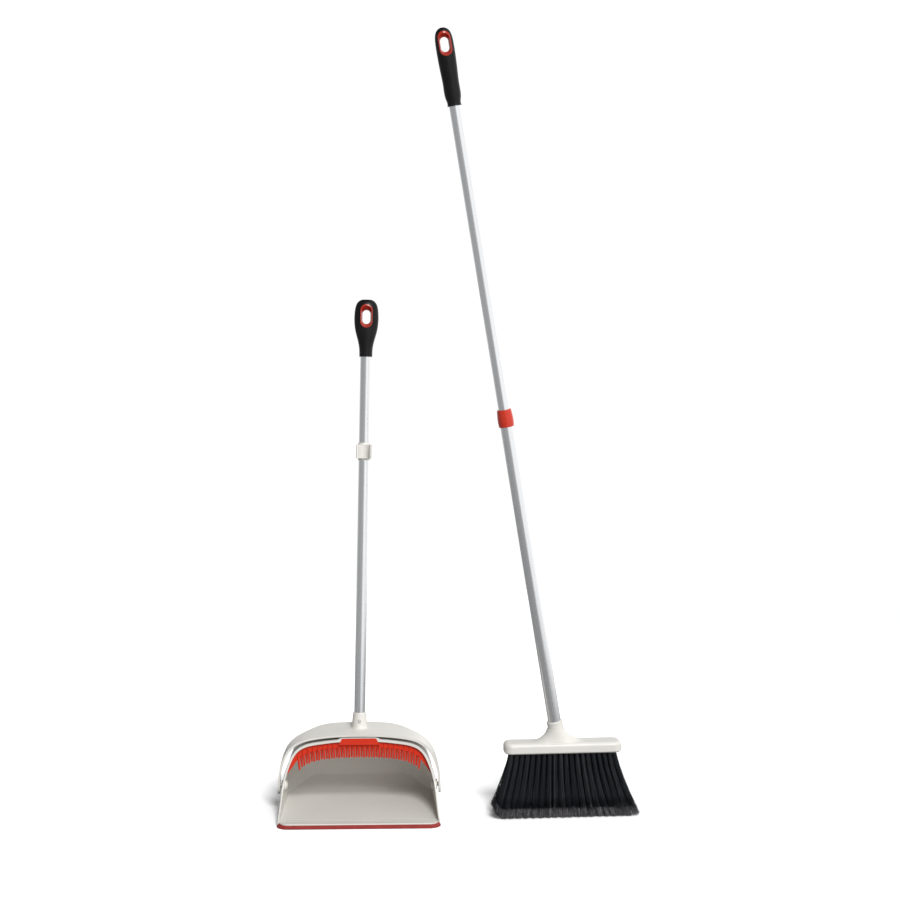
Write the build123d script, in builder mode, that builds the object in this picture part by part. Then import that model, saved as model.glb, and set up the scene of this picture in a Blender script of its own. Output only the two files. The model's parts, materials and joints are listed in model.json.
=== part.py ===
from build123d import *
from math import atan2, cos, degrees, hypot, radians, sin, sqrt, tan
import os

# Standing dustpan with a swinging handle, and the telescoping broom that clips to it.
# Millimetres. The floor is Z = 0, the pan's mouth opens toward -Y, the broom stands at +X.

# ---------------------------------------------------------------- pan
LIP_FRONT_Y = -125.0
NOSE_FRONT_Y = -120.0
NOSE_BACK_Y = -104.0
HOOD_EDGE_Y = -28.0
PAN_BACK_Y = 122.9
NOSE_HALF_WIDTH = 137.5
NOSE_CORNER_R = 15.0
NOSE_HEIGHT = 7.4
LIP_SLOPE_RUN = 5.0
LIP_HEIGHT = 5.6
FLOOR_T = 3.0
WALL_T = 2.6
SIDE_TAPER = 0.00029
HOOD_TOP_Z = 130.5
CROWN_END_Y = 48.0
CROWN_R = 75.5
SIDE_END_Y = 68.5
BACK_CORNER_R = 55.0
STRAIGHT_END_Y = 40.0
# Depths at which the rounded back is sectioned.
BACK_STATIONS = [40, 47, 54, 61, 68, 77, 86, 95, 104, 112, 118, 121.5, PAN_BACK_Y]
FLANGE_OUT = 1.6
FLANGE_WIDTH = 5.0
FLANGE_LOW_Z = 58.0
TAB_TOP_Z = 135.2
COVE_R = 34.0
COVE_Y = 88.0
PAD_GAP = 0.3
BOSS_R = 9.0
BOSS_FACE_X = 138.0
BOSS_BACK_X = 129.6
# Half outline of the hood at the pivot, from the floor up to the crown: (x, z).
HOOD_ARCH = [
    (138.0, 0.0), (137.0, 20.0), (135.0, 47.0), (131.5, 66.0), (125.5, 84.0), (118.5, 100.0),
    (109.0, 112.5), (95.5, 120.5), (72.5, 125.6), (40.0, 129.4), (0.0, 130.5),
]

# ---------------------------------------------------------------- comb
COMB_FRONT_Y = -22.8
COMB_T = 6.0
COMB_TEETH = 25
COMB_PITCH = 9.0
TOOTH_LENGTH = 18.0
TOOTH_RIB = 10.0
TOOTH_ROOT_R = 2.4
TOOTH_TIP_R = 1.6
COMB_FAN = 5.0
# Lower edge of the comb's solid band: (x, z).
COMB_EDGE = [
    (127.0, 69.0), (120.5, 78.0), (112.0, 90.0), (101.0, 101.0), (86.0, 108.0), (66.0, 112.5),
    (38.0, 115.2), (0.0, 116.0),
]

# ---------------------------------------------------------------- yoke
PIVOT_Y = -14.0
PIVOT_Z = 46.0
PIN_R = 4.0
PIN_HOLE_R = 4.06
PIN_HEAD_R = 6.2
YOKE_T = 3.8
YOKE_FRONT_Y = -29.0
YOKE_BACK_Y = 58.0
ARM_R = 15.0
# Back edge of the yoke seen from above, from the crown out to the arm: (x, y).
YOKE_PLAN = [
    (38.0, 58.3), (53.0, 57.2), (67.0, 52.4), (80.0, 43.0), (91.0, 32.5), (104.0, 24.0),
    (122.0, 19.2), (150.0, 18.0),
]
# Half outline of the yoke's underside, from the arm's end up to the crown: (x, z).
YOKE_ARCH = [
    (140.6, 28.0), (140.4, 47.0), (138.8, 67.0), (134.2, 86.5), (127.0, 104.5), (115.5, 118.0),
    (99.5, 127.0), (74.5, 132.8), (40.5, 136.2), (0.0, 137.2),
]

# ---------------------------------------------------------------- pan handle
LEAN_BACK = 7.0
LEAN_SIDE = 1.24
SOCKET_Y = 20.0
SOCKET_Z = 140.5
SOCKET_HEIGHT = 27.5
THIN_TUBE_R = 9.5
THIN_TUBE_BORE_R = 8.5
BUTTON_HEIGHT = 12.5
BUTTON_R = 2.8
BUTTON_HOLE_R = 3.1
CLIP_HEIGHT = 494.0
CLIP_LENGTH = 24.5
CLIP_R = 11.1
CLIP_WALL = 2.9
CLIP_OFFSET = 25.0
CLIP_GAP_HALF_ANGLE = 68.0
CONNECTOR_R = 11.0
CONNECTOR_HALF = 15.5
SPIGOT_LENGTH = 76.0
PAN_GRIP_START = 663.0
# Rows of (height, half width, half depth) up the grip of the pan.
PAN_GRIP = [
    (0.0, 11.5, 11.5), (12.0, 11.9, 11.6), (24.0, 13.6, 12.0), (36.0, 16.8, 12.6),
    (48.0, 19.8, 13.0), (60.0, 21.3, 13.2), (74.0, 21.5, 13.0), (86.0, 20.3, 12.2),
    (94.0, 17.8, 10.6), (99.5, 13.2, 7.6), (102.0, 7.0, 3.6),
]
PAN_HOLE_HEIGHT = 71.0
PAN_CORE_START = 36.0

# ---------------------------------------------------------------- broom
BROOM_X = 358.5
BROOM_Y = -41.3
BROOM_YAW = 3.2
POLE_LEAN = 9.4
POLE_FOOT_X = -6.5
POLE_FOOT_Z = 120.0
COVER_LENGTH = 207.5
COVER_DEPTH = 40.0
COVER_BOTTOM_Z = 112.0
COVER_TOP_Z = 131.0
BLOCK_LENGTH = 196.0
BLOCK_DEPTH = 34.0
BLOCK_T = 12.0
NECK_HEIGHT = 47.5
# Rows of (height, half length, half depth) of the flare between cover and neck.
NECK_FLARE = [
    (129.8, 56.0, 18.4), (131.6, 43.5, 17.8), (134.5, 34.5, 17.2), (138.5, 27.5, 16.4),
    (143.0, 21.8, 15.8), (148.0, 17.8, 15.2), (153.0, 15.2, 14.8),
]
WIDE_TUBE_R = 11.1
WIDE_TUBE_BORE_R = 10.1
WIDE_TUBE_START = 6.0
WIDE_TUBE_END = 585.0
COLLAR_START = 577.5
COLLAR_END = 607.5
INNER_TUBE_START = 512.0
INNER_TUBE_END = 1180.0
BROOM_GRIP_START = 1130.5
BROOM_GRIP = [
    (0.0, 12.3, 11.8), (12.0, 12.9, 12.1), (35.0, 13.9, 12.7), (62.0, 14.9, 13.3),
    (88.0, 15.6, 13.2), (106.0, 15.5, 12.6), (118.0, 14.2, 11.2), (126.0, 11.0, 8.6),
    (130.0, 6.4, 5.2), (131.4, 2.8, 2.2),
]
BROOM_HOLE_HEIGHT = 103.0
BROOM_CORE_START = 62.0
HOLE_LENGTH = 25.0
HOLE_WIDTH = 14.2
DISH_LENGTH = 40.5
DISH_WIDTH = 20.4
DISH_SHIFT = 1.6
GRIP_SKIN = 2.2
TUFT_ROOT_R = 3.2
TUFT_TIP_R = 6.0
TUFT_PITCH = 9.6
TUFT_ROW_PITCH = 8.4
TUFT_HOLE_DEPTH = 8.0
FAN_X = 1.36
FAN_Y = 2.2
TIP_SHIFT = 4.5
TUFT_ROWS = [(-1.5, 20), (-0.5, 19), (0.5, 20), (1.5, 19)]

os.makedirs("parts", exist_ok=True)


def offset_outline(points, out, base_z=0.0):
    """Half outline moved outward by out, starting exactly at height base_z."""
    moved = []
    for i, (x, z) in enumerate(points):
        before = points[max(i - 1, 0)]
        after = points[min(i + 1, len(points) - 1)]
        run = after[0] - before[0]
        rise = after[1] - before[1]
        length = hypot(run, rise)
        moved.append((x + out * rise / length, z - out * run / length))
    moved[-1] = (0.0, moved[-1][1])
    above = [point for point in moved[1:] if point[1] > base_z + 3]
    lower = moved[moved.index(above[0]) - 1]
    slope = (above[0][0] - lower[0]) / (above[0][1] - lower[1])
    return [(lower[0] + slope * (base_z - lower[1]), base_z)] + above


def arch_face(y, outer, spread=1.0, inner=None):
    """Mirror-symmetric face at depth y under a half outline, less the part under inner."""
    with BuildSketch(Plane.XZ.offset(-y)) as section:
        for outline, mode in ((outer, Mode.ADD), (inner, Mode.SUBTRACT)):
            if outline is not None:
                right = [(x * spread, z) for x, z in outline]
                left = [(-x, z) for x, z in reversed(right[:-1])]
                with BuildLine():
                    Spline(*right, *left)
                    Line(left[-1], right[0])
                make_face(mode=mode)
    return section.sketch


def hood_size(y):
    """Width and height factors of the hood at depth y."""
    half_width = HOOD_ARCH[0][0] * (1 - SIDE_TAPER * (min(y, SIDE_END_Y) - PIVOT_Y))
    if y > SIDE_END_Y:
        half_width += sqrt(BACK_CORNER_R**2 - (y - SIDE_END_Y) ** 2) - BACK_CORNER_R
    top = HOOD_TOP_Z
    if y > CROWN_END_Y:
        top += sqrt(CROWN_R**2 - (y - CROWN_END_Y) ** 2) - CROWN_R
    return half_width / HOOD_ARCH[0][0], top / HOOD_TOP_Z


def hood_section(y, inset, base_z):
    """Closed cross-section of the hood at depth y, moved in by inset all round."""
    width, height = hood_size(y)
    outline = offset_outline([(x * width, z * height) for x, z in HOOD_ARCH], -inset, base_z)
    if y > CROWN_END_Y:
        y -= inset * (y - CROWN_END_Y) / (PAN_BACK_Y - CROWN_END_Y)
    return arch_face(y, outline)


def hood_solid(front_y, inset, base_z):
    """Solid hood from front_y to the back wall: straight in front, domed behind."""
    with BuildPart() as hood:
        ends = [hood_section(y, inset, base_z) for y in (front_y, STRAIGHT_END_Y)]
        loft(ends, ruled=True)
        loft([hood_section(y, inset, base_z) for y in BACK_STATIONS])
    return hood.part


def hood_ring(y, outer_inset, inner_inset, base_z):
    """Arch-shaped strip between two insets of the hood, open at base_z."""
    width = hood_size(y)[0]
    outer = offset_outline(HOOD_ARCH, -outer_inset, base_z)
    inner = offset_outline(HOOD_ARCH, -inner_inset, base_z - 2)
    return arch_face(y, outer, width, inner)


def comb_tab(gap, low_z):
    """Raised middle of the comb that clips into the tab on the hood's edge, larger all round by gap."""
    with BuildPart() as tab:
        with BuildSketch(Plane.XZ.offset(22.6 - gap)):
            Polygon((-36 - gap, low_z), (36 + gap, low_z), (30.4 + gap, 133.0 + gap), (28 + gap, 133.6 + gap),
                    (-28 - gap, 133.6 + gap), (-30.4 - gap, 133.0 + gap), align=None)
        extrude(amount=5.7 + 2 * gap)
    return tab.part


def cove(radius):
    """Everything below and behind a curve that turns the pan's floor up into its back wall."""
    centre = (COVE_Y, FLOOR_T + COVE_R)
    with BuildPart() as corner:
        with BuildSketch(Plane.YZ):
            Polygon((COVE_Y, -5), (140, -5), (140, centre[1]), (COVE_Y, centre[1]), align=None)
            with Locations(centre):
                Circle(radius, mode=Mode.SUBTRACT)
        extrude(amount=170, both=True)
    return corner.part


def radial(plane):
    """Plane through a pole's axis: sketch x is radius, sketch y is distance up the pole."""
    return Plane(origin=plane.origin, x_dir=plane.x_dir, z_dir=-plane.y_dir)


def turned(plane, outline):
    """Solid of revolution about a pole's axis from (radius, height) corners."""
    with BuildPart() as body:
        with BuildSketch(radial(plane)):
            with BuildLine():
                Polyline(*outline, close=True)
            make_face()
        revolve(axis=Axis(plane.origin, plane.z_dir))
    return body.part


def tube(plane, outer_r, bore_r, start, end):
    """Round tube along a pole's axis."""
    return turned(plane, [(bore_r, start), (outer_r, start), (outer_r, end), (bore_r, end)])


def grip_blank(plane, start, rows, shrink):
    """Lofted body of a grip, thinner all round by shrink."""
    with BuildPart() as blank:
        for height, half_width, half_depth in rows:
            with BuildSketch(plane.offset(start + height)):
                Ellipse(half_width - shrink, half_depth - shrink)
        loft()
    return blank.part


def grip_inside(plane, start, rows, core_start):
    """Lofted body inside a grip's skin, from core_start to just under its crown."""
    inner_rows = [row for row in rows if row[0] >= core_start and row[2] > GRIP_SKIN + 1.5]
    last = inner_rows.pop()
    inner_rows.append((last[0] - 0.8, last[1], last[2]))
    return grip_blank(plane, start, inner_rows, GRIP_SKIN)


def slot_through(plane, height, length, width):
    """Upright slot cutter through a grip, front to back."""
    with BuildPart() as cutter:
        with BuildSketch(radial(plane)):
            with Locations((0, height)):
                SlotOverall(length, width, rotation=90)
        extrude(amount=30, both=True)
    return cutter.part


def dish(plane, height, side):
    """Funnel that opens from the hanging hole to the grip's front or back face."""
    with BuildPart() as cutter:
        with BuildSketch(radial(plane).offset(3.0 * side)):
            with Locations((0, height)):
                SlotOverall(HOLE_LENGTH, HOLE_WIDTH, rotation=90)
        with BuildSketch(radial(plane).offset(13.5 * side)):
            with Locations((0, height + DISH_SHIFT)):
                SlotOverall(DISH_LENGTH, DISH_WIDTH, rotation=90)
        loft()
    return cutter.part


def grip_core(plane, start, rows, hole_height, core_start, tube_top):
    """Hard inner body of a grip with the dished hanging hole."""
    hole = start + hole_height
    with BuildPart() as core:
        add(grip_inside(plane, start, rows, core_start))
        with BuildPart(mode=Mode.PRIVATE) as window:
            add(slot_through(plane, hole + DISH_SHIFT, DISH_LENGTH + 1.2, DISH_WIDTH + 1.2))
            add(grip_blank(plane, start, rows, 0.0), mode=Mode.INTERSECT)
        add(window.part)
        add(slot_through(plane, hole, HOLE_LENGTH, HOLE_WIDTH), mode=Mode.SUBTRACT)
        add(dish(plane, hole, 1), mode=Mode.SUBTRACT)
        add(dish(plane, hole, -1), mode=Mode.SUBTRACT)
        add(turned(plane, [(0, start), (THIN_TUBE_R, start), (THIN_TUBE_R, tube_top), (0, tube_top)]),
            mode=Mode.SUBTRACT)
    return core.part


def grip_sleeve(plane, start, rows, hole_height, core_start):
    """Soft skin of a grip, open around the hanging hole."""
    hole = start + hole_height
    with BuildPart() as sleeve:
        add(grip_blank(plane, start, rows, 0.0))
        add(grip_inside(plane, start, rows, core_start), mode=Mode.SUBTRACT)
        add(slot_through(plane, hole + DISH_SHIFT, DISH_LENGTH + 1.2, DISH_WIDTH + 1.2), mode=Mode.SUBTRACT)
        lower = start + core_start + 0.1
        add(turned(plane, [(0, start - 1), (THIN_TUBE_R, start - 1), (THIN_TUBE_R, lower), (0, lower)]),
            mode=Mode.SUBTRACT)
    return sleeve.part


# Pole frames: origin at the foot of each pole, z up the pole.
side_lean = tan(radians(LEAN_SIDE))
back_lean = tan(radians(LEAN_BACK))
HANDLE = Plane(origin=(0, SOCKET_Y, SOCKET_Z), x_dir=(1, 0, -side_lean), z_dir=(side_lean, back_lean, 1))
yaw = radians(BROOM_YAW)
lean = radians(POLE_LEAN)
BROOM = Plane(origin=(BROOM_X, BROOM_Y, 0), x_dir=(cos(yaw), sin(yaw), 0), z_dir=(0, 0, 1))
POLE = Plane(
    origin=(BROOM_X + POLE_FOOT_X * cos(yaw), BROOM_Y + POLE_FOOT_X * sin(yaw), POLE_FOOT_Z),
    x_dir=(cos(lean) * cos(yaw), cos(lean) * sin(yaw), sin(lean)),
    z_dir=(-sin(lean) * cos(yaw), -sin(lean) * sin(yaw), cos(lean)),
)


# ---------------------------------------------------------------- pan body
with BuildPart() as pan_body:
    add(hood_solid(NOSE_FRONT_Y, 0, 0))
    # The cavity runs out of the mouth.
    add(hood_solid(-170, WALL_T, FLOOR_T), mode=Mode.SUBTRACT)
    # The floor curves up into the back wall, inside and outside.
    with BuildPart(mode=Mode.PRIVATE) as cove_fill:
        add(hood_solid(-20, 1.0, 1))
        add(cove(COVE_R), mode=Mode.INTERSECT)
    add(cove_fill.part)
    add(cove(COVE_R + FLOOR_T), mode=Mode.SUBTRACT)
    # Mouth: everything above the side rims and ahead of the hood edge.
    with BuildSketch(Plane.YZ):
        with BuildLine():
            Polyline((HOOD_EDGE_Y, 104), (HOOD_EDGE_Y, 160), (-160, 160), (-160, 7.6), (-108, 7.6))
            Spline((-108, 7.6), (-90, 13.5), (-70, 23.5), (-52, 35.5), (-40, 51), (-32.5, 74),
                   (HOOD_EDGE_Y, 104))
        make_face()
    extrude(amount=200, both=True, mode=Mode.SUBTRACT)
    # Ramp up to the nose, with two shallow grooves across it.
    with BuildSketch(Plane.YZ):
        Polygon((NOSE_FRONT_Y, 0.0), (NOSE_FRONT_Y, NOSE_HEIGHT - 0.8), (NOSE_FRONT_Y + 0.8, NOSE_HEIGHT),
                (NOSE_FRONT_Y + 2.4, NOSE_HEIGHT), (-94.5, 5.2), (-94.0, 4.5), (-92.8, 4.5), (-92.3, 5.0),
                (-81.0, 3.7), (-80.6, 3.05), (-79.4, 3.05), (-79.0, 3.5), (-72.0, 3.0), (-72.0, 0.0),
                align=None)
    extrude(amount=139.0, both=True)
    # Ahead of the side walls only the rounded nose is left.
    with BuildSketch(Plane.XY):
        with Locations((0, (NOSE_BACK_Y - 160) / 2)):
            Rectangle(340, NOSE_BACK_Y + 160)
        with Locations((0, NOSE_FRONT_Y + 60)):
            RectangleRounded(2 * NOSE_HALF_WIDTH, 120, NOSE_CORNER_R, mode=Mode.SUBTRACT)
    extrude(amount=60, mode=Mode.SUBTRACT)
    # Raised flange along the hood edge, with a straight tab at its crown.
    extrude(hood_ring(HOOD_EDGE_Y + FLANGE_WIDTH, -FLANGE_OUT, 1.0, FLANGE_LOW_Z), amount=FLANGE_WIDTH)
    with BuildSketch(Plane.XZ.offset(-HOOD_EDGE_Y - FLANGE_WIDTH)):
        Polygon((-44, HOOD_TOP_Z - 2), (44, HOOD_TOP_Z - 2), (32, TAB_TOP_Z - 0.8), (28, TAB_TOP_Z),
                (-28, TAB_TOP_Z), (-32, TAB_TOP_Z - 0.8), align=None)
    extrude(amount=FLANGE_WIDTH)
    add(comb_tab(0.2, 120), mode=Mode.SUBTRACT)
    # Two pads that carry the yoke's back edge.
    with BuildSketch(Plane.XY.offset(HOOD_TOP_Z - 5)):
        with Locations((44, 47), (-44, 47)):
            RectangleRounded(22, 8, 2)
    extrude(amount=14)
    with BuildPart(mode=Mode.PRIVATE) as yoke_room:
        room = offset_outline(YOKE_ARCH, -PAD_GAP, 90)
        extrude(arch_face(YOKE_BACK_Y, offset_outline(YOKE_ARCH, 20, 90), 1.0, room), amount=60)
    add(yoke_room.part, mode=Mode.SUBTRACT)
    # Pivot bosses through both side walls.
    with BuildSketch(Plane.YZ.offset(BOSS_BACK_X)):
        with Locations((PIVOT_Y, PIVOT_Z)):
            Circle(BOSS_R)
    boss = extrude(amount=BOSS_FACE_X - BOSS_BACK_X)
    mirror(boss, about=Plane.YZ)
    with BuildSketch(Plane.YZ):
        with Locations((PIVOT_Y, PIVOT_Z)):
            Circle(PIN_HOLE_R)
    extrude(amount=200, both=True, mode=Mode.SUBTRACT)

# ---------------------------------------------------------------- front lip
with BuildPart() as front_lip:
    with BuildSketch(Plane.XY):
        with Locations((0, LIP_FRONT_Y + 40)):
            RectangleRounded(2 * (NOSE_HALF_WIDTH + LIP_SLOPE_RUN), 80, NOSE_CORNER_R + LIP_SLOPE_RUN)
    extrude(amount=1.0)
    extrude(front_lip.faces().sort_by(Axis.Z)[-1], amount=LIP_HEIGHT - 1.0,
            taper=degrees(atan2(LIP_SLOPE_RUN, LIP_HEIGHT - 1.0)))
    with BuildSketch(Plane.XY.offset(-1)):
        with Locations((0, NOSE_FRONT_Y + 60)):
            RectangleRounded(2 * NOSE_HALF_WIDTH, 120, NOSE_CORNER_R)
        with Locations((0, NOSE_BACK_Y + 60)):
            Rectangle(340, 120)
    extrude(amount=20, mode=Mode.SUBTRACT)

# ---------------------------------------------------------------- comb
def comb_edge_z(x):
    """Height of the comb band's lower edge at a distance x from the middle."""
    for (x0, z0), (x1, z1) in zip(COMB_EDGE, COMB_EDGE[1:]):
        if x1 <= abs(x) <= x0:
            return z0 + (z1 - z0) * (x0 - abs(x)) / (x0 - x1)
    return COMB_EDGE[0][1]


with BuildPart() as bristle_comb:
    comb_back_y = COMB_FRONT_Y + COMB_T
    comb_spread = 1 - SIDE_TAPER * (comb_back_y - PIVOT_Y)
    comb_outer = offset_outline(HOOD_ARCH, -WALL_T - 0.25, COMB_EDGE[0][1])
    extrude(arch_face(comb_back_y, comb_outer, comb_spread, COMB_EDGE), amount=COMB_T)
    add(comb_tab(0.0, 122))
    # Two staggered rows of round teeth that stand out of the band as ribs.
    for count, y in ((COMB_TEETH, COMB_FRONT_Y + 0.6), (COMB_TEETH - 1, comb_back_y - 1.8)):
        for i in range(count):
            x = (i - (count - 1) / 2) * COMB_PITCH
            with Locations(Location((x, y, comb_edge_z(x) + TOOTH_RIB), (0, COMB_FAN * x / 104, 0))):
                Cone(TOOTH_TIP_R, TOOTH_ROOT_R, TOOTH_RIB + TOOTH_LENGTH,
                     align=(Align.CENTER, Align.CENTER, Align.MAX))

# ---------------------------------------------------------------- yoke
with BuildPart() as yoke:
    yoke_outer = offset_outline(YOKE_ARCH, YOKE_T, 28)
    yoke_inner = offset_outline(YOKE_ARCH, 0, 26)
    extrude(arch_face(YOKE_BACK_Y + 4, yoke_outer, 1.0, yoke_inner), amount=YOKE_BACK_Y - YOKE_FRONT_Y + 8)
    # Side view: rounded arm ends, straight front edge, back edge flaring into the crown.
    with BuildSketch(Plane.YZ):
        with BuildLine():
            front = PIVOT_Y - ARM_R
            back = PIVOT_Y + ARM_R
            Polyline((YOKE_BACK_Y, 128.5), (YOKE_BACK_Y, 160), (front, 160), (front, PIVOT_Z))
            ThreePointArc((front, PIVOT_Z), (PIVOT_Y, PIVOT_Z - ARM_R), (back, PIVOT_Z))
            Spline((back, PIVOT_Z), (3, 74), (9, 95), (22, 112), (40, 122.5), (YOKE_BACK_Y, 128.5))
        make_face()
    extrude(amount=200, both=True, mode=Mode.INTERSECT)
    # The crown's back corners sweep round into the arms.
    with BuildSketch(Plane.XY.offset(105)):
        for side in (1, -1):
            edge = [(side * x, y) for x, y in YOKE_PLAN]
            with BuildLine():
                Spline(*edge)
                Polyline(edge[-1], (side * 200, 18), (side * 200, 100), (edge[0][0], 100), edge[0])
            make_face()
    extrude(amount=60, mode=Mode.SUBTRACT)
    # Conical socket for the pole.
    add(turned(HANDLE, [(0, -3), (17, -3), (14.2, 1.0), (13.2, 4.0), (11.7, SOCKET_HEIGHT - 1.5),
                        (11.1, SOCKET_HEIGHT), (0, SOCKET_HEIGHT)]))
    with BuildPart(mode=Mode.PRIVATE) as under_crown:
        extrude(arch_face(YOKE_BACK_Y + 8, offset_outline(YOKE_ARCH, 0, 26)), amount=110)
    add(under_crown.part, mode=Mode.SUBTRACT)
    add(turned(HANDLE, [(0, 0.5), (THIN_TUBE_R, 0.5), (THIN_TUBE_R, 60), (0, 60)]), mode=Mode.SUBTRACT)
    with BuildSketch(radial(HANDLE)):
        with Locations((0, BUTTON_HEIGHT)):
            Circle(BUTTON_HOLE_R)
    extrude(amount=30, mode=Mode.SUBTRACT)
    # Blind holes that hold the pivot pins.
    with BuildSketch(Plane.YZ):
        with Locations((PIVOT_Y, PIVOT_Z)):
            Circle(PIN_R)
    extrude(amount=142.2, both=True, mode=Mode.SUBTRACT)

# ---------------------------------------------------------------- pivot pins
with BuildPart() as pivot_pin_right:
    with BuildSketch(Plane.YZ.offset(BOSS_BACK_X - 0.3)):
        with Locations((PIVOT_Y, PIVOT_Z)):
            Circle(PIN_R)
    extrude(amount=142.2 - BOSS_BACK_X + 0.3)
    with BuildSketch(Plane.YZ.offset(BOSS_BACK_X - 0.3)):
        with Locations((PIVOT_Y, PIVOT_Z)):
            Circle(PIN_HEAD_R)
    extrude(amount=-1.8)
    chamfer(pivot_pin_right.faces().sort_by(Axis.X)[0].edges(), length=0.6)

with BuildPart() as pivot_pin_left:
    add(mirror(pivot_pin_right.part, about=Plane.YZ, mode=Mode.PRIVATE))

# ---------------------------------------------------------------- snap button
with BuildPart() as snap_button:
    button_plane = radial(HANDLE)
    with BuildSketch(button_plane.offset(6.4)):
        with Locations((0, BUTTON_HEIGHT)):
            Circle(3.6)
    extrude(amount=1.0)
    with BuildSketch(button_plane.offset(7.4)):
        with Locations((0, BUTTON_HEIGHT)):
            Circle(BUTTON_R)
    extrude(amount=6.4)
    fillet(snap_button.faces().sort_by(Axis.Y)[0].edges(), radius=1.2)

# ---------------------------------------------------------------- pan handle tubes
with BuildPart() as pan_tube_lower:
    add(tube(HANDLE, THIN_TUBE_R, THIN_TUBE_BORE_R, 0.5, CLIP_HEIGHT))
    with BuildSketch(radial(HANDLE)):
        with Locations((0, BUTTON_HEIGHT)):
            Circle(BUTTON_HOLE_R)
    extrude(amount=30, mode=Mode.SUBTRACT)

with BuildPart() as pan_tube_upper:
    add(tube(HANDLE, THIN_TUBE_R, THIN_TUBE_BORE_R, CLIP_HEIGHT, PAN_GRIP_START + 48))

with BuildPart() as tube_spigot:
    add(tube(HANDLE, THIN_TUBE_BORE_R, THIN_TUBE_BORE_R - 1.5, CLIP_HEIGHT - SPIGOT_LENGTH / 2,
             CLIP_HEIGHT + SPIGOT_LENGTH / 2))

# ---------------------------------------------------------------- tube connector with broom clip
CLIP = Plane(origin=HANDLE.from_local_coords((0, -CLIP_OFFSET, CLIP_HEIGHT)), x_dir=HANDLE.x_dir,
             z_dir=HANDLE.z_dir)
with BuildPart() as tube_connector:
    bottom = CLIP_HEIGHT - CONNECTOR_HALF
    top = CLIP_HEIGHT + CONNECTOR_HALF
    add(turned(HANDLE, [(THIN_TUBE_R, bottom), (10.5, bottom), (CONNECTOR_R, bottom + 3),
                        (CONNECTOR_R, top - 3), (10.5, top), (THIN_TUBE_R, top)]))
    # Web and open C-clip, its gap facing away from the pole.
    with BuildSketch(CLIP.offset(-CLIP_LENGTH / 2)):
        Circle(CLIP_R + CLIP_WALL)
        with Locations((0, CLIP_OFFSET / 2)):
            Rectangle(13, CLIP_OFFSET)
        with Locations((0, CLIP_OFFSET)):
            Circle(THIN_TUBE_R, mode=Mode.SUBTRACT)
        Circle(CLIP_R, mode=Mode.SUBTRACT)
        reach = 40
        gap = radians(CLIP_GAP_HALF_ANGLE)
        Polygon((0, 0), (-reach * sin(gap), -reach * cos(gap)), (reach * sin(gap), -reach * cos(gap)),
                align=None, mode=Mode.SUBTRACT)
    extrude(amount=CLIP_LENGTH)

# ---------------------------------------------------------------- pan grip
with BuildPart() as pan_grip_core:
    add(grip_core(HANDLE, PAN_GRIP_START, PAN_GRIP, PAN_HOLE_HEIGHT, PAN_CORE_START, PAN_GRIP_START + 48))

with BuildPart() as pan_grip_sleeve:
    add(grip_sleeve(HANDLE, PAN_GRIP_START, PAN_GRIP, PAN_HOLE_HEIGHT, PAN_CORE_START))

# ---------------------------------------------------------------- broom head
with BuildPart() as head_cover:
    with BuildSketch(BROOM.offset(COVER_BOTTOM_Z)):
        RectangleRounded(COVER_LENGTH, COVER_DEPTH, 13)
    extrude(amount=COVER_TOP_Z - COVER_BOTTOM_Z)
    fillet(head_cover.faces().sort_by(Axis.Z)[-1].edges(), radius=7)
    chamfer(head_cover.faces().sort_by(Axis.Z)[0].edges(), length=2.2)
    # Flare from the cover up into the leaning neck.
    for height, half_length, half_depth in NECK_FLARE:
        with BuildSketch(BROOM.offset(height)):
            with Locations((POLE_FOOT_X - (height - POLE_FOOT_Z) * tan(lean), 0)):
                Ellipse(half_length, half_depth)
    loft()
    add(turned(POLE, [(0, 12), (14.6, 12), (13.4, NECK_HEIGHT - 6), (13.3, NECK_HEIGHT - 5),
                      (14.1, NECK_HEIGHT - 4.4), (14.1, NECK_HEIGHT - 1), (13.2, NECK_HEIGHT),
                      (0, NECK_HEIGHT)]))
    add(turned(POLE, [(0, WIDE_TUBE_START), (WIDE_TUBE_R, WIDE_TUBE_START), (WIDE_TUBE_R, 90), (0, 90)]),
        mode=Mode.SUBTRACT)
    with BuildSketch(BROOM.offset(COVER_BOTTOM_Z)):
        RectangleRounded(BLOCK_LENGTH, BLOCK_DEPTH, 8)
    extrude(amount=BLOCK_T, mode=Mode.SUBTRACT)


def tuft_places(row, count):
    """Root centres of one row of tufts."""
    return [((i - (count - 1) / 2) * TUFT_PITCH, row * TUFT_ROW_PITCH) for i in range(count)]


with BuildPart() as bristle_block:
    with BuildSketch(BROOM.offset(COVER_BOTTOM_Z)):
        RectangleRounded(BLOCK_LENGTH, BLOCK_DEPTH, 8)
    extrude(amount=BLOCK_T)
    with BuildSketch(BROOM.offset(COVER_BOTTOM_Z)):
        for row, count in TUFT_ROWS:
            with Locations(*tuft_places(row, count)):
                Circle(TUFT_ROOT_R)
    extrude(amount=TUFT_HOLE_DEPTH, mode=Mode.SUBTRACT)


def tuft_row(row, count):
    """One row of tufts that splay from the block down to the floor."""
    with BuildPart() as tufts:
        for x, y in tuft_places(row, count):
            with BuildSketch(BROOM.offset(COVER_BOTTOM_Z)):
                with Locations((x, y)):
                    Circle(TUFT_ROOT_R)
            extrude(amount=TUFT_HOLE_DEPTH)
            with BuildSketch(BROOM.offset(COVER_BOTTOM_Z)):
                with Locations((x, y)):
                    Circle(TUFT_ROOT_R)
            with BuildSketch(BROOM):
                with Locations((x * FAN_X + TIP_SHIFT, y * FAN_Y)):
                    Circle(TUFT_TIP_R)
            loft()
    return tufts.part


with BuildPart() as tuft_row_1:
    add(tuft_row(*TUFT_ROWS[0]))

with BuildPart() as tuft_row_2:
    add(tuft_row(*TUFT_ROWS[1]))

with BuildPart() as tuft_row_3:
    add(tuft_row(*TUFT_ROWS[2]))

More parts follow.
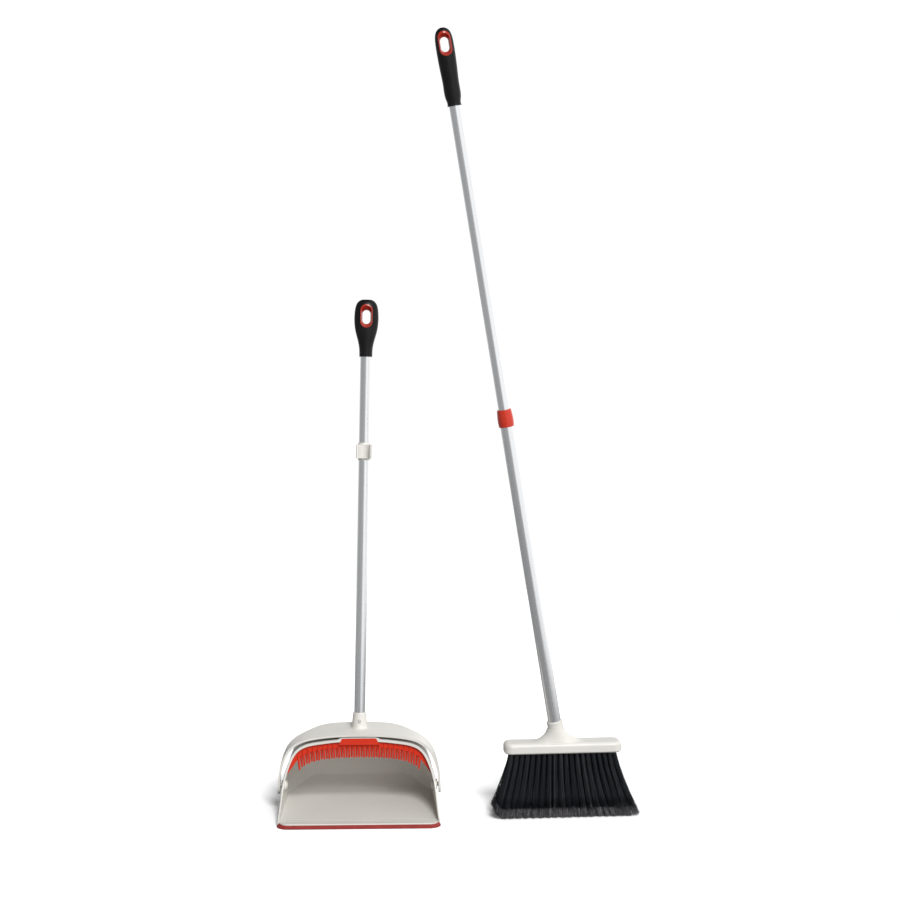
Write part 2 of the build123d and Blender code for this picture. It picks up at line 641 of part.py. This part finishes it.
with BuildPart() as tuft_row_4:
    add(tuft_row(*TUFT_ROWS[3]))

# ---------------------------------------------------------------- broom pole
with BuildPart() as broom_tube_lower:
    add(tube(POLE, WIDE_TUBE_R, WIDE_TUBE_BORE_R, WIDE_TUBE_START, WIDE_TUBE_END))

with BuildPart() as lock_sleeve:
    add(turned(POLE, [(THIN_TUBE_R + 0.08, WIDE_TUBE_END - 26), (WIDE_TUBE_BORE_R, WIDE_TUBE_END - 26),
                      (WIDE_TUBE_BORE_R, WIDE_TUBE_END), (WIDE_TUBE_R, WIDE_TUBE_END),
                      (WIDE_TUBE_R, WIDE_TUBE_END + 10), (10.2, WIDE_TUBE_END + 14.5),
                      (THIN_TUBE_R + 0.08, WIDE_TUBE_END + 14.5)]))
    # Four slots free the collet fingers.
    with BuildSketch(POLE.offset(WIDE_TUBE_END + 3)):
        Rectangle(30, 1.4)
        Rectangle(1.4, 30)
    extrude(amount=20, mode=Mode.SUBTRACT)

with BuildPart() as lock_collar:
    add(turned(POLE, [(WIDE_TUBE_R + 0.3, COLLAR_START), (12.6, COLLAR_START), (13.3, COLLAR_START + 1.6),
                      (13.8, COLLAR_START + 9), (13.6, COLLAR_START + 17), (12.9, COLLAR_START + 24),
                      (12.4, COLLAR_END - 1.2), (11.6, COLLAR_END), (THIN_TUBE_R + 0.3, COLLAR_END),
                      (THIN_TUBE_R + 0.3, COLLAR_END - 4), (WIDE_TUBE_R + 0.3, COLLAR_END - 9)]))

with BuildPart() as broom_tube_upper:
    add(tube(POLE, THIN_TUBE_R, THIN_TUBE_BORE_R, INNER_TUBE_START, INNER_TUBE_END))

with BuildPart() as guide_plug:
    add(turned(POLE, [(0, INNER_TUBE_START - 14), (9.4, INNER_TUBE_START - 14),
                      (10.02, INNER_TUBE_START - 13), (10.02, INNER_TUBE_START),
                      (THIN_TUBE_BORE_R, INNER_TUBE_START),
                      (THIN_TUBE_BORE_R, INNER_TUBE_START + 22), (0, INNER_TUBE_START + 22)]))

# ---------------------------------------------------------------- broom grip
with BuildPart() as broom_grip_core:
    add(grip_core(POLE, BROOM_GRIP_START, BROOM_GRIP, BROOM_HOLE_HEIGHT, BROOM_CORE_START, INNER_TUBE_END))

with BuildPart() as broom_grip_sleeve:
    add(grip_sleeve(POLE, BROOM_GRIP_START, BROOM_GRIP, BROOM_HOLE_HEIGHT, BROOM_CORE_START))

NODES = {
    "pan_body": pan_body,
    "front_lip": front_lip,
    "bristle_comb": bristle_comb,
    "yoke": yoke,
    "pivot_pin_left": pivot_pin_left,
    "pivot_pin_right": pivot_pin_right,
    "snap_button": snap_button,
    "pan_tube_lower": pan_tube_lower,
    "pan_tube_upper": pan_tube_upper,
    "tube_spigot": tube_spigot,
    "tube_connector": tube_connector,
    "pan_grip_core": pan_grip_core,
    "pan_grip_sleeve": pan_grip_sleeve,
    "head_cover": head_cover,
    "bristle_block": bristle_block,
    "tuft_row_1": tuft_row_1,
    "tuft_row_2": tuft_row_2,
    "tuft_row_3": tuft_row_3,
    "tuft_row_4": tuft_row_4,
    "broom_tube_lower": broom_tube_lower,
    "lock_sleeve": lock_sleeve,
    "lock_collar": lock_collar,
    "broom_tube_upper": broom_tube_upper,
    "guide_plug": guide_plug,
    "broom_grip_core": broom_grip_core,
    "broom_grip_sleeve": broom_grip_sleeve,
}
for node, built in NODES.items():
    built.part.label = node
    export_step(built.part, f"parts/{node}.step")
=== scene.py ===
import json
import math

import bpy
import numpy as np
from mathutils import Euler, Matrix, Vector


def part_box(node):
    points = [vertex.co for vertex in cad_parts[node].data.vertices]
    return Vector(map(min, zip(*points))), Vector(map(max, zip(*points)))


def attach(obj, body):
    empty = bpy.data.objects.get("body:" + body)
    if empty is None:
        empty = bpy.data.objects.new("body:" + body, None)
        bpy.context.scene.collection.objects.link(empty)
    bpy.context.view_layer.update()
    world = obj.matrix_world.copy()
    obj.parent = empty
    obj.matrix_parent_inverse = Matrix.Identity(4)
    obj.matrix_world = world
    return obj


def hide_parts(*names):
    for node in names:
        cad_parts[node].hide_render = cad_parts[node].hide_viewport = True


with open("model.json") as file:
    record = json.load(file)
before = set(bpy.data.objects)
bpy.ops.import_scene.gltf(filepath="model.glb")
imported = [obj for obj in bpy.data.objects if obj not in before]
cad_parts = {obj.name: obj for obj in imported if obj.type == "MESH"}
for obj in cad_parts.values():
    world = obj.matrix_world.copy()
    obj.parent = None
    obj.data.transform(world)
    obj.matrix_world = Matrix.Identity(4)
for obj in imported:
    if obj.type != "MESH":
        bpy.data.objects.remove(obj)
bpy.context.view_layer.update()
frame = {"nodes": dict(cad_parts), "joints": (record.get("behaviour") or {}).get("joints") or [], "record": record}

scene = bpy.context.scene
nodes = frame["nodes"]
mounts = {m["name"]: m for m in frame["record"]["mounts"]}
joints = {j["name"]: j for j in frame["joints"]}
rng = np.random.default_rng(20)

# Directions of the two poles, pointing up.
PAN_POLE = Vector(mounts["broom_clip"]["axis"]).normalized()
BROOM_POLE = Vector(joints["pole_extend"]["axis"]).normalized()


# ------------------------------------------------------------ shading helpers
class Finish:
    """A node material round one Principled shader."""

    def __init__(self, name, **sockets):
        self.material = bpy.data.materials.new(name)
        self.material.use_nodes = True
        self.tree = self.material.node_tree
        self.shader = self.tree.nodes["Principled BSDF"]
        for socket, value in sockets.items():
            self.shader.inputs[socket.replace("_", " ")].default_value = value
        self.place = self.add("ShaderNodeTexCoord").outputs["Object"]

    def add(self, kind, **properties):
        node = self.tree.nodes.new(kind)
        for name, value in properties.items():
            setattr(node, name, value)
        return node

    def join(self, source, target):
        self.tree.links.new(source, target)

    def mapped(self, scale=(1, 1, 1), along=None):
        """Object coordinates, turned so that along points up, then scaled."""
        turned = self.place
        if along is not None:
            spin = self.add("ShaderNodeMapping")
            upright = along.rotation_difference(Vector((0, 0, 1)))
            spin.inputs["Rotation"].default_value = upright.to_euler()
            self.join(turned, spin.inputs["Vector"])
            turned = spin.outputs["Vector"]
        stretch = self.add("ShaderNodeMapping")
        stretch.inputs["Scale"].default_value = scale
        self.join(turned, stretch.inputs["Vector"])
        return stretch.outputs["Vector"]

    def noise(self, scale, detail=2.0, roughness=0.5, vector=None):
        node = self.add("ShaderNodeTexNoise")
        node.inputs["Scale"].default_value = scale
        node.inputs["Detail"].default_value = detail
        node.inputs["Roughness"].default_value = roughness
        self.join(vector or self.place, node.inputs["Vector"])
        return node.outputs["Fac"]

    def ramp(self, value, *stops):
        node = self.add("ShaderNodeValToRGB")
        band = node.color_ramp
        while len(band.elements) < len(stops):
            band.elements.new(0.5)
        for element, (position, color) in zip(band.elements, stops):
            element.position = position
            element.color = (*color, 1.0)
        self.join(value, node.inputs["Fac"])
        return node.outputs["Color"]

    def span(self, value, low, high, start=0.3, end=0.7):
        node = self.add("ShaderNodeMapRange")
        node.inputs["From Min"].default_value = start
        node.inputs["From Max"].default_value = end
        node.inputs["To Min"].default_value = low
        node.inputs["To Max"].default_value = high
        self.join(value, node.inputs["Value"])
        return node.outputs["Result"]

    def height(self, *pairs):
        """Bump from (height value, depth in metres) pairs, laid over each other."""
        normal = None
        for value, depth in pairs:
            bump = self.add("ShaderNodeBump")
            bump.inputs["Strength"].default_value = 1.0
            bump.inputs["Distance"].default_value = depth
            self.join(value, bump.inputs["Height"])
            if normal is not None:
                self.join(normal, bump.inputs["Normal"])
            normal = bump.outputs["Normal"]
        self.join(normal, self.shader.inputs["Normal"])

    def color(self, output):
        self.join(output, self.shader.inputs["Base Color"])

    def gloss(self, output):
        self.join(output, self.shader.inputs["Roughness"])

    def put_on(self, *names):
        for name in names:
            mesh = nodes[name].data
            mesh.materials.clear()
            mesh.materials.append(self.material)


# ------------------------------------------------------------ finishes
# Colours are linear. Bump depths are in metres, and gloss is a pair of roughness values.
SHELL_COLOR = (0.66, 0.645, 0.605)
COMB_COLOR = (0.60, 0.030, 0.010)
INSERT_COLOR = (0.36, 0.024, 0.012)
COLLAR_COLOR = (0.50, 0.028, 0.010)
BLOCK_COLOR = (0.020, 0.020, 0.022)
BUTTON_COLOR = (0.50, 0.50, 0.48)
LIP_DARK = (0.235, 0.026, 0.022)
LIP_LIGHT = (0.28, 0.033, 0.028)
GRIP_DARK = (0.0045, 0.0045, 0.005)
GRIP_LIGHT = (0.008, 0.008, 0.0085)
METAL_DARK = (0.70, 0.71, 0.725)
METAL_LIGHT = (0.77, 0.78, 0.79)
SATIN_GRAIN = 0.00001
POLISHED_GRAIN = 0.000005
RUBBER_GRAIN = 0.00003
MOULD_WAVES = 0.00006
DRAW_LINES = 0.000006


def shade(color, factor):
    return tuple(min(1.0, c * factor) for c in color)


def moulded_plastic(name, color, gloss, grain=SATIN_GRAIN, **sockets):
    """Injection-moulded plastic: faint cloudiness, fine spark-eroded grain and uneven gloss."""
    f = Finish(name, **sockets)
    cloud = f.noise(9.0, 3.0)
    fleck = f.noise(420.0, 2.0)
    mixed = f.add("ShaderNodeMath", operation="MULTIPLY_ADD")
    f.join(fleck, mixed.inputs[0])
    mixed.inputs[1].default_value = 0.25
    f.join(cloud, mixed.inputs[2])
    f.color(f.ramp(mixed.outputs[0], (0.42, shade(color, 0.965)), (0.62, color),
                   (0.85, shade(color, 1.02))))
    f.gloss(f.span(f.noise(32.0, 4.0, 0.6), *gloss))
    f.height((f.noise(1500.0, 2.0, 0.6), grain), (f.noise(14.0, 1.0), MOULD_WAVES))
    return f


def soft_rubber(name, dark, light, gloss, cloud, sheen, grain, level):
    """Matte rubber; cloud, sheen and grain are the (scale, detail, ...) of its three noises."""
    f = Finish(name, Specular_IOR_Level=level)
    f.color(f.ramp(f.noise(*cloud), dark, light))
    f.gloss(f.span(f.noise(*sheen), *gloss))
    f.height((f.noise(*grain), RUBBER_GRAIN))
    return f


def drawn_aluminium(name, axis):
    """Satin anodised tube with fine draw lines along its length."""
    f = Finish(name, Metallic=1.0)
    lines = f.noise(1.0, 3.0, 0.6, f.mapped((1400, 1400, 9), axis))
    bands = f.noise(1.0, 2.0, 0.5, f.mapped((260, 260, 2.5), axis))
    f.color(f.ramp(bands, (0.3, METAL_DARK), (0.7, METAL_LIGHT)))
    f.gloss(f.span(lines, 0.20, 0.30))
    f.height((lines, DRAW_LINES))
    return f


shell = moulded_plastic("shell_plastic", SHELL_COLOR, (0.34, 0.48), Specular_IOR_Level=0.4)
shell.put_on("pan_body", "yoke", "pivot_pin_left", "pivot_pin_right", "tube_connector", "head_cover")

comb = moulded_plastic("comb_plastic", COMB_COLOR, (0.42, 0.54), Specular_IOR_Level=0.25)
comb.put_on("bristle_comb")

insert = moulded_plastic("insert_plastic", INSERT_COLOR, (0.24, 0.36), POLISHED_GRAIN,
                         Specular_IOR_Level=0.35)
insert.put_on("pan_grip_core", "broom_grip_core")

collar = moulded_plastic("collar_plastic", COLLAR_COLOR, (0.20, 0.30), POLISHED_GRAIN,
                         Specular_IOR_Level=0.4)
collar.put_on("lock_collar")

block = moulded_plastic("block_plastic", BLOCK_COLOR, (0.45, 0.60))
block.put_on("bristle_block")

button = moulded_plastic("button_plastic", BUTTON_COLOR, (0.35, 0.48))
button.put_on("snap_button", "tube_spigot", "lock_sleeve", "guide_plug")

lip = soft_rubber("lip_rubber", (0.35, LIP_DARK), (0.65, LIP_LIGHT), (0.52, 0.68),
                  cloud=(40.0, 4.0), sheen=(60.0, 3.0), grain=(900.0, 3.0, 0.6), level=0.25)
lip.put_on("front_lip")

grip = soft_rubber("grip_rubber", (0.35, GRIP_DARK), (0.7, GRIP_LIGHT), (0.34, 0.44),
                   cloud=(30.0, 4.0), sheen=(45.0, 4.0), grain=(1100.0, 2.0, 0.7), level=0.18)
grip.put_on("pan_grip_sleeve", "broom_grip_sleeve")

drawn_aluminium("pan_tube_aluminium", PAN_POLE).put_on("pan_tube_lower", "pan_tube_upper")
drawn_aluminium("broom_tube_aluminium", BROOM_POLE).put_on("broom_tube_lower", "broom_tube_upper")

# ------------------------------------------------------------ bristles
BRISTLE_COLOR = (0.013, 0.0155, 0.020)
GREYING_COLOR = (0.066, 0.066, 0.072)
TIP_COLOR = (0.44, 0.415, 0.44)
# Heights in metres between which the tips turn grey, and how far that moves up from one to another.
TIP_GREY_FROM = 0.006
TIP_GREY_FULL = -0.014
TIP_GREY_SHIFT = 0.021


def bristle_finish():
    """Black filaments with grey tips, each in its own tone."""
    f = Finish("bristle_fibre", Specular_IOR_Level=0.45)
    place = f.add("ShaderNodeSeparateXYZ")
    f.join(f.place, place.inputs["Vector"])
    # Every filament turns grey at its own height, and a few are paler all the way up.
    filament = f.add("ShaderNodeNewGeometry").outputs["Random Per Island"]
    ragged = f.add("ShaderNodeMath", operation="MULTIPLY_ADD")
    f.join(filament, ragged.inputs[0])
    ragged.inputs[1].default_value = -TIP_GREY_SHIFT
    f.join(place.outputs["Z"], ragged.inputs[2])
    tip_share = f.span(ragged.outputs[0], 1.0, 0.0, TIP_GREY_FULL, TIP_GREY_FROM)
    grey_share = f.add("ShaderNodeMath", operation="ADD", use_clamp=True)
    f.join(tip_share, grey_share.inputs[0])
    f.join(f.span(filament, 0.0, 0.55, 0.90, 1.0), grey_share.inputs[1])
    grey = grey_share.outputs[0]
    f.color(f.ramp(grey, (0.0, BRISTLE_COLOR), (0.45, GREYING_COLOR), (1.0, TIP_COLOR)))
    f.gloss(f.span(grey, 0.36, 0.62, 0.0, 1.0))
    return f


fibre = bristle_finish()

cover_low, cover_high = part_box("head_cover")
HEAD = (cover_low + cover_high) / 2
YAW = math.atan2(-BROOM_POLE.y, -BROOM_POLE.x)
ROOT_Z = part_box("bristle_block")[0].z
# Rows of tufts across the head: (place in row pitches, number of tufts).
ROWS = ((-1.5, 20), (-0.5, 19), (0.5, 20), (1.5, 19))
TUFT_PITCH = 0.0096
ROW_PITCH = 0.0084
# The roots' pattern grows by these factors down to the tips, on a curve of this power.
FAN_LENGTH = 1.36
FAN_DEPTH = 2.2
SPLAY_POWER = 1.25
ROOT_R = 0.0029
TIP_R = 0.0060
TIP_SHIFT = 0.0045
TIP_WANDER = 0.0011
TIP_UNEVEN = 0.0006
# The ends of the head are trimmed round, more so on the side toward the pan.
TRIM_NEAR_PAN = 0.020
TRIM_FAR = 0.005
TRIM_START = 0.86
TRIM_SPAN = 0.16
SWAY = 0.00045
SWAY_WAVES = 9
FIBRES = 120
FIBRE_R = 0.00022
STRANDS = 3
STRAND_R = 0.00013
STRAND_FLARE = 0.0012
SPLIT_AT = 0.86
# Shares of the filament's length at which its points lie, from inside the block to the tip.
MAIN_STEPS = np.array([-0.035, 0.0, 0.22, 0.45, 0.68, SPLIT_AT])
STRAND_STEPS = np.array([SPLIT_AT - 0.02, 0.93, 1.0])


def prisms(lines, radii, spin):
    """Closed three-sided rods: lines is (rods, points, 3), radii one per point."""
    rods, points, _ = lines.shape
    angles = spin[:, None] + np.arange(3) * (2 * math.pi / 3)
    ring = np.stack([np.cos(angles), np.sin(angles), np.zeros_like(angles)], -1)
    verts = lines[:, :, None, :] + ring[:, None, :, :] * radii[None, :, None, None]
    corner = np.arange(3)
    following = (corner + 1) % 3
    faces = []
    for step in range(points - 1):
        low, high = step * 3, step * 3 + 3
        faces += [(low + a, high + a, high + b) for a, b in zip(corner, following)]
        faces += [(low + a, high + b, low + b) for a, b in zip(corner, following)]
    last = (points - 1) * 3
    faces += [(0, 1, 2), (last, last + 2, last + 1)]
    faces = np.array(faces)[None, :, :] + (np.arange(rods) * points * 3)[:, None, None]
    return verts.reshape(-1, 3), faces.reshape(-1, 3)


def bristle_row(name, row, count):
    """All the filaments of one row of tufts, each split into fine flagged strands at its end."""
    places = (np.arange(count) - (count - 1) / 2) * TUFT_PITCH
    tuft = np.repeat(places, FIBRES)
    total = len(tuft)
    spread = np.sqrt(rng.random(total))
    turn = rng.random(total) * 2 * math.pi
    disc = np.stack([np.cos(turn), np.sin(turn)], -1) * spread[:, None]
    root = np.stack([tuft, np.full(total, row * ROW_PITCH)], -1) + disc * ROOT_R
    wander = rng.normal(0, TIP_WANDER, (total, 2))
    fanned_row = np.full(total, row * ROW_PITCH * FAN_DEPTH)
    middle = np.stack([tuft * FAN_LENGTH + TIP_SHIFT, fanned_row], -1)
    tip = middle + disc * TIP_R + wander
    reach = (tip[:, 0] - TIP_SHIFT) / (places[-1] * FAN_LENGTH + TIP_R)
    trim = np.where(reach < 0, TRIM_NEAR_PAN, TRIM_FAR)
    rounding = (np.clip(np.abs(reach) - TRIM_START, 0, TRIM_SPAN) / TRIM_SPAN) ** 2
    tip_z = np.abs(rng.normal(0, TIP_UNEVEN, total)) + trim * rounding
    phase = rng.random((total, 2)) * 2 * math.pi
    sway = rng.normal(0, SWAY, (total, 2))

    def line(steps, extra=0.0):
        t = steps[None, :, None]
        splay = t.clip(0) ** SPLAY_POWER + t.clip(None, 0)
        flat = root[:, None, :] * (1 - splay) + tip[:, None, :] * splay
        flat = flat + (sway[:, None, :] * np.sin(t * SWAY_WAVES + phase[:, None, :]) * t) + extra
        z = ROOT_Z * (1 - steps[None, :]) + tip_z[:, None] * steps[None, :]
        return np.concatenate([flat, z[:, :, None]], -1)

    spin = rng.random(total) * 2 * math.pi
    verts, faces = prisms(line(MAIN_STEPS), np.full(len(MAIN_STEPS), FIBRE_R), spin)
    all_verts, all_faces = [verts], [faces]
    offset = len(verts)
    for _ in range(STRANDS):
        opened = ((STRAND_STEPS - SPLIT_AT) / (1 - SPLIT_AT)).clip(0)[None, :, None]
        flare = rng.normal(0, STRAND_FLARE, (total, 1, 2)) * opened
        radii = np.array([STRAND_R, STRAND_R, STRAND_R * 0.5])
        verts, faces = prisms(line(STRAND_STEPS, flare), radii, spin)
        all_verts.append(verts)
        all_faces.append(faces + offset)
        offset += len(verts)
    verts = np.concatenate(all_verts)
    c, s = math.cos(YAW), math.sin(YAW)
    x = HEAD.x + verts[:, 0] * c - verts[:, 1] * s
    y = HEAD.y + verts[:, 0] * s + verts[:, 1] * c
    return triangle_piece(name, np.stack([x, y, verts[:, 2]], -1), np.concatenate(all_faces))


def triangle_piece(name, verts, faces):
    """Smooth-shaded object of the bristles' material from arrays of points and triangles."""
    mesh = bpy.data.meshes.new(name)
    mesh.vertices.add(len(verts))
    mesh.vertices.foreach_set("co", verts.astype(np.float32).ravel())
    mesh.loops.add(len(faces) * 3)
    mesh.loops.foreach_set("vertex_index", faces.astype(np.int32).ravel())
    mesh.polygons.add(len(faces))
    mesh.polygons.foreach_set("loop_start", np.arange(0, len(faces) * 3, 3, dtype=np.int32))
    mesh.update(calc_edges=True)
    mesh.validate()
    mesh.shade_smooth()
    mesh.materials.append(fibre.material)
    made = bpy.data.objects.new(name, mesh)
    scene.collection.objects.link(made)
    return made


for number, (row, count) in enumerate(ROWS, 1):
    bristles = bristle_row(f"bristles_row_{number}", row, count)
    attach(bristles, "broom")
    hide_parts(f"tuft_row_{number}")

# ------------------------------------------------------------ floor
FLOOR_R = 2.0
FLOOR_SIDES = 96
FLOOR_Z = -0.0004
REFLECTED_GREY = 0.32


def paper_floor():
    """Round sheet of white paper, overexposed where it is seen directly and grey in reflections."""
    mesh = bpy.data.meshes.new("floor")
    edge = [(FLOOR_R * math.cos(a), FLOOR_R * math.sin(a), FLOOR_Z)
            for a in np.linspace(0, 2 * math.pi, FLOOR_SIDES, endpoint=False)]
    mesh.from_pydata(edge, [], [list(range(FLOOR_SIDES))])
    floor = bpy.data.objects.new("floor", mesh)
    scene.collection.objects.link(floor)
    paper = Finish("floor_paper")
    seen = paper.add("ShaderNodeMix", data_type="RGBA")
    paper.join(paper.add("ShaderNodeLightPath").outputs["Is Camera Ray"], seen.inputs["Factor"])
    seen.inputs[6].default_value = (REFLECTED_GREY, REFLECTED_GREY, REFLECTED_GREY, 1.0)
    white = paper.ramp(paper.noise(0.6, 2.0), (0.4, (1.15, 1.15, 1.155)), (0.6, (1.18, 1.18, 1.185)))
    paper.join(white, seen.inputs[7])
    matte = paper.add("ShaderNodeBsdfDiffuse")
    paper.join(seen.outputs[2], matte.inputs["Color"])
    paper.join(matte.outputs["BSDF"], paper.tree.nodes["Material Output"].inputs["Surface"])
    mesh.materials.append(paper.material)
    return floor


paper_floor()

# ------------------------------------------------------------ light
BASE_GLOW = 0.44
BACKDROP_GLOW = 1.02
# The studio's glow swells along each axis of the view direction: (axis, start, end, amount).
GLOW_SWELLS = (("X", 0.05, 0.40, 0.75), ("Y", 0.1, 1.0, 0.35), ("Z", 0.22, 0.50, -0.33))
KEY_TOWARD = (0.22, -0.73, 0.64)
KEY_SPREAD = 18
KEY_STRENGTH = 2.8


def studio_world():
    """Soft grey surroundings: brighter right and behind, darker overhead, white where seen directly."""
    world = bpy.data.worlds.new("studio")
    scene.world = world
    world.use_nodes = True
    tree = world.node_tree
    tree.nodes.clear()

    def node(kind, **properties):
        made = tree.nodes.new(kind)
        for name, value in properties.items():
            setattr(made, name, value)
        return made

    axes = node("ShaderNodeSeparateXYZ")
    tree.links.new(node("ShaderNodeTexCoord").outputs["Generated"], axes.inputs["Vector"])
    glow = None
    for axis, start, end, amount in GLOW_SWELLS:
        swell = node("ShaderNodeMapRange", interpolation_type="SMOOTHSTEP")
        swell.inputs["From Min"].default_value = start
        swell.inputs["From Max"].default_value = end
        swell.inputs["To Min"].default_value = 0.0
        swell.inputs["To Max"].default_value = amount
        tree.links.new(axes.outputs[axis], swell.inputs["Value"])
        summed = node("ShaderNodeMath", operation="ADD")
        tree.links.new(swell.outputs["Result"], summed.inputs[0])
        if glow is None:
            summed.inputs[1].default_value = BASE_GLOW
        else:
            tree.links.new(glow, summed.inputs[1])
        glow = summed.outputs[0]
    backdrop = node("ShaderNodeMix", data_type="FLOAT")
    tree.links.new(node("ShaderNodeLightPath").outputs["Is Camera Ray"], backdrop.inputs[0])
    tree.links.new(glow, backdrop.inputs[2])
    backdrop.inputs[3].default_value = BACKDROP_GLOW
    emit = node("ShaderNodeBackground")
    emit.inputs["Color"].default_value = (1.0, 1.0, 1.0, 1.0)
    tree.links.new(backdrop.outputs[0], emit.inputs["Strength"])
    tree.links.new(emit.outputs["Background"], node("ShaderNodeOutputWorld").inputs["Surface"])


def sun(name, toward, spread, strength):
    """Distant soft light that comes from the direction toward, spread in degrees."""
    data = bpy.data.lights.new(name, "SUN")
    data.angle = math.radians(spread)
    data.energy = strength
    lamp = bpy.data.objects.new(name, data)
    lamp.rotation_euler = Vector(toward).to_track_quat("Z", "Y").to_euler()
    scene.collection.objects.link(lamp)


studio_world()
sun("key", KEY_TOWARD, KEY_SPREAD, KEY_STRENGTH)

# ------------------------------------------------------------ camera
CAMERA_PLACE = (0.0500, -3.5499, 1.1108)
CAMERA_DOWN = 7.5
CAMERA_RIGHT = 1.8
camera_data = bpy.data.cameras.new("camera")
camera_data.lens = 81.92
camera_data.sensor_width = 36
camera_data.clip_end = 200
camera = bpy.data.objects.new("camera", camera_data)
camera.location = CAMERA_PLACE
camera.rotation_euler = Euler((math.radians(90 - CAMERA_DOWN), 0, math.radians(-CAMERA_RIGHT)))
scene.collection.objects.link(camera)
scene.camera = camera

scene.view_settings.view_transform = "Standard"
scene.view_settings.look = "None"
scene.cycles.use_denoising = True
